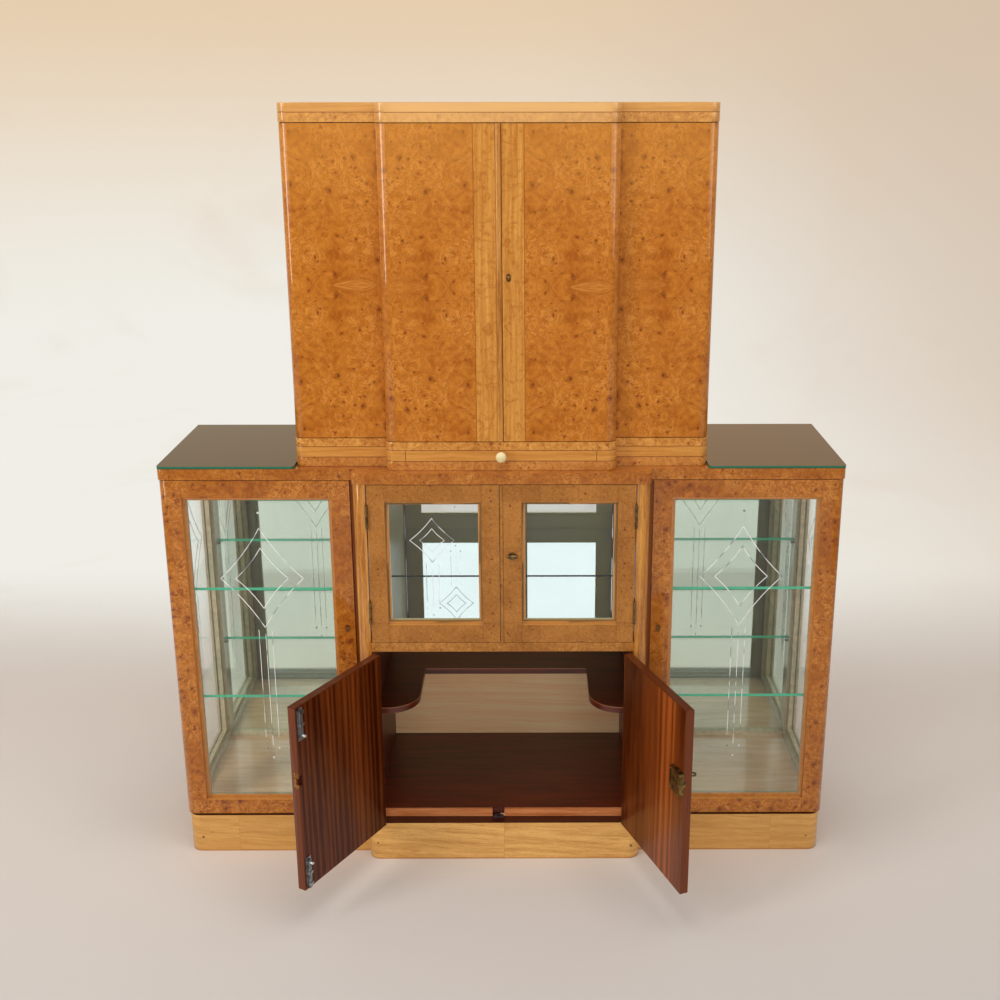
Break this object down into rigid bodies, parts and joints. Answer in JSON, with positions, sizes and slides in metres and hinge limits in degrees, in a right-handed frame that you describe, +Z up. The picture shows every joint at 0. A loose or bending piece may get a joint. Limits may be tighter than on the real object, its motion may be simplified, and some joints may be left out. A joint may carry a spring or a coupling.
{
  "type": "bar cabinet",
  "caption": "Art Deco burr-veneered bar cabinet with glazed vitrines, mirror tops, an upper bar cupboard, a pull-out mixing slide and hinged doors.",
  "frame": {"origin": "on the floor, in the middle of the cabinet's width and of the side bays' depth", "axes": "+Z up, front faces -Y, +X to the right seen from the front"},
  "size_m": [1.458, 0.6639, 1.66],
  "materials": {
    "burl": "high-gloss French-polished burr veneer",
    "pale_veneer": "gloss-polished pale maple-like veneer",
    "sapele": "gloss-polished ribbon-stripe sapele veneer",
    "inner_wood": "satin polished plain veneer",
    "lipping": "satin hardwood edge strip",
    "bead_paint": "softwood beads painted cream",
    "clear_glass": "clear polished glass",
    "mirror": "silvered mirror glass",
    "dark_mirror": "bronze-grey mirror glass with polished green edges",
    "bronze": "darkened bronze",
    "steel": "worn bright steel",
    "knob_plastic": "cream moulded knob"
  },
  "bodies": {
    "case": {"plinth": "pale_veneer", "plinth_bearers": "inner_wood", "cupboard_floor": "sapele", "cupboard_floor_lipping": "lipping", "vitrine_floors": "inner_wood", "partitions": "sapele", "centre_posts": "burl", "back_panels": "inner_wood", "side_frames": "burl", "side_glass": "clear_glass", "glazing_beads": "bead_paint", "mirrors": "mirror", "glass_shelves": "clear_glass", "shelf_pins": "steel", "centre_rail": "burl", "compartment_floor": "inner_wood", "cupboard_shelf": "sapele", "cupboard_shelf_cleats": "sapele", "bolt_keepers": "steel", "lower_top": "burl", "mirror_glass_tops": "dark_mirror", "upper_base": "burl", "upper_floor": "burl", "upper_frieze": "burl", "upper_top": "pale_veneer", "slide_housing": "pale_veneer", "upper_sides": "burl", "pivot_pins": "steel", "butt_hinge_case_leaves": "bronze"},
    "left_upper_door": {"upper_door_left": "burl", "upper_astragal": "pale_veneer"},
    "right_upper_door": {"upper_door_right": "burl", "upper_keyhole_plate": "bronze"},
    "left_vitrine_door": {"vitrine_door_left_frame": "burl", "vitrine_door_left_glass": "clear_glass", "vitrine_door_left_keyhole_plate": "bronze"},
    "right_vitrine_door": {"vitrine_door_right_frame": "burl", "vitrine_door_right_glass": "clear_glass", "vitrine_door_right_keyhole_plate": "bronze"},
    "left_glazed_door": {"glazed_door_left_frame": "burl", "glazed_door_left_glass": "clear_glass", "glazed_door_left_hinge_leaves": "bronze"},
    "right_glazed_door": {"glazed_door_right_frame": "burl", "glazed_door_right_glass": "clear_glass", "glazed_door_right_hinge_leaves": "bronze", "glazed_door_meeting_bead": "burl"},
    "turn_latch": {"glazed_door_turn_latch": "bronze"},
    "left_cupboard_door": {"cupboard_door_left": "sapele", "cupboard_door_left_hinge_leaves": "bronze", "slide_bolt_plates": "steel"},
    "right_cupboard_door": {"cupboard_door_right": "sapele", "cupboard_door_right_hinge_leaves": "bronze", "cupboard_lock_and_keyhole_plate": "bronze"},
    "top_bolt": {"top_slide_bolt": "steel"},
    "bottom_bolt": {"bottom_slide_bolt": "steel"},
    "key": {"cupboard_key": "bronze"},
    "lock_bolt": {"cupboard_lock_bolt": "bronze"},
    "mixing_slide": {"mixing_slide_board": "inner_wood", "mixing_slide_front": "pale_veneer", "mixing_slide_knob": "knob_plastic"}
  },
  "joints": [
    {"name": "left_upper_door_hinge", "type": "hinge", "parent": "case", "child": "left_upper_door", "pos_m": [-0.418, -0.1373, 0.98], "axis": [0, 0, -1], "range_deg": [0, 100]},
    {"name": "right_upper_door_hinge", "type": "hinge", "parent": "case", "child": "right_upper_door", "pos_m": [0.418, -0.1373, 0.98], "axis": [0, 0, 1], "range_deg": [0, 100]},
    {"name": "left_vitrine_door_hinge", "type": "hinge", "parent": "case", "child": "left_vitrine_door", "pos_m": [-0.71, -0.158, 0.093], "axis": [0, 0, -1], "range_deg": [0, 100]},
    {"name": "right_vitrine_door_hinge", "type": "hinge", "parent": "case", "child": "right_vitrine_door", "pos_m": [0.71, -0.158, 0.093], "axis": [0, 0, 1], "range_deg": [0, 100]},
    {"name": "left_glazed_door_hinge", "type": "hinge", "parent": "case", "child": "left_glazed_door", "pos_m": [-0.2837, -0.2131, 0.581], "axis": [0, 0, -1], "range_deg": [0, 115]},
    {"name": "right_glazed_door_hinge", "type": "hinge", "parent": "case", "child": "right_glazed_door", "pos_m": [0.2837, -0.2131, 0.581], "axis": [0, 0, 1], "range_deg": [0, 115]},
    {"name": "turn_latch_spindle", "type": "hinge", "parent": "right_glazed_door", "child": "turn_latch", "pos_m": [0.0225, -0.21, 0.735], "axis": [0, 1, 0], "range_deg": [0, 90]},
    {"name": "left_cupboard_door_hinge", "type": "hinge", "parent": "case", "child": "left_cupboard_door", "pos_m": [-0.2837, -0.2131, 0.1345], "axis": [0, 0, -1], "range_deg": [-119.8, 40.2]},
    {"name": "right_cupboard_door_hinge", "type": "hinge", "parent": "case", "child": "right_cupboard_door", "pos_m": [0.2837, -0.2131, 0.1345], "axis": [0, 0, 1], "range_deg": [-111.5, 48.5]},
    {"name": "top_bolt_slide", "type": "slide", "parent": "left_cupboard_door", "child": "top_bolt", "axis": [0, 0, 1], "range_m": [0, 0.012]},
    {"name": "bottom_bolt_slide", "type": "slide", "parent": "left_cupboard_door", "child": "bottom_bolt", "axis": [0, 0, -1], "range_m": [0, 0.012]},
    {"name": "key_turn", "type": "hinge", "parent": "right_cupboard_door", "child": "key", "pos_m": [0.37606, -0.44756, 0.349], "axis": [-0.9304, -0.3665, 0], "range_deg": [0, 90]},
    {"name": "lock_bolt_slide", "type": "slide", "parent": "right_cupboard_door", "child": "lock_bolt", "axis": [0.3665, -0.9304, 0], "range_m": [0, 0.008]},
    {"name": "mixing_slide_run", "type": "slide", "parent": "case", "child": "mixing_slide", "axis": [0, -1, 0], "range_m": [0, 0.24]}
  ],
  "couplings": [
    {"joint": "key_turn", "follows": "lock_bolt_slide", "rad_per_m": 196.35}
  ]
}
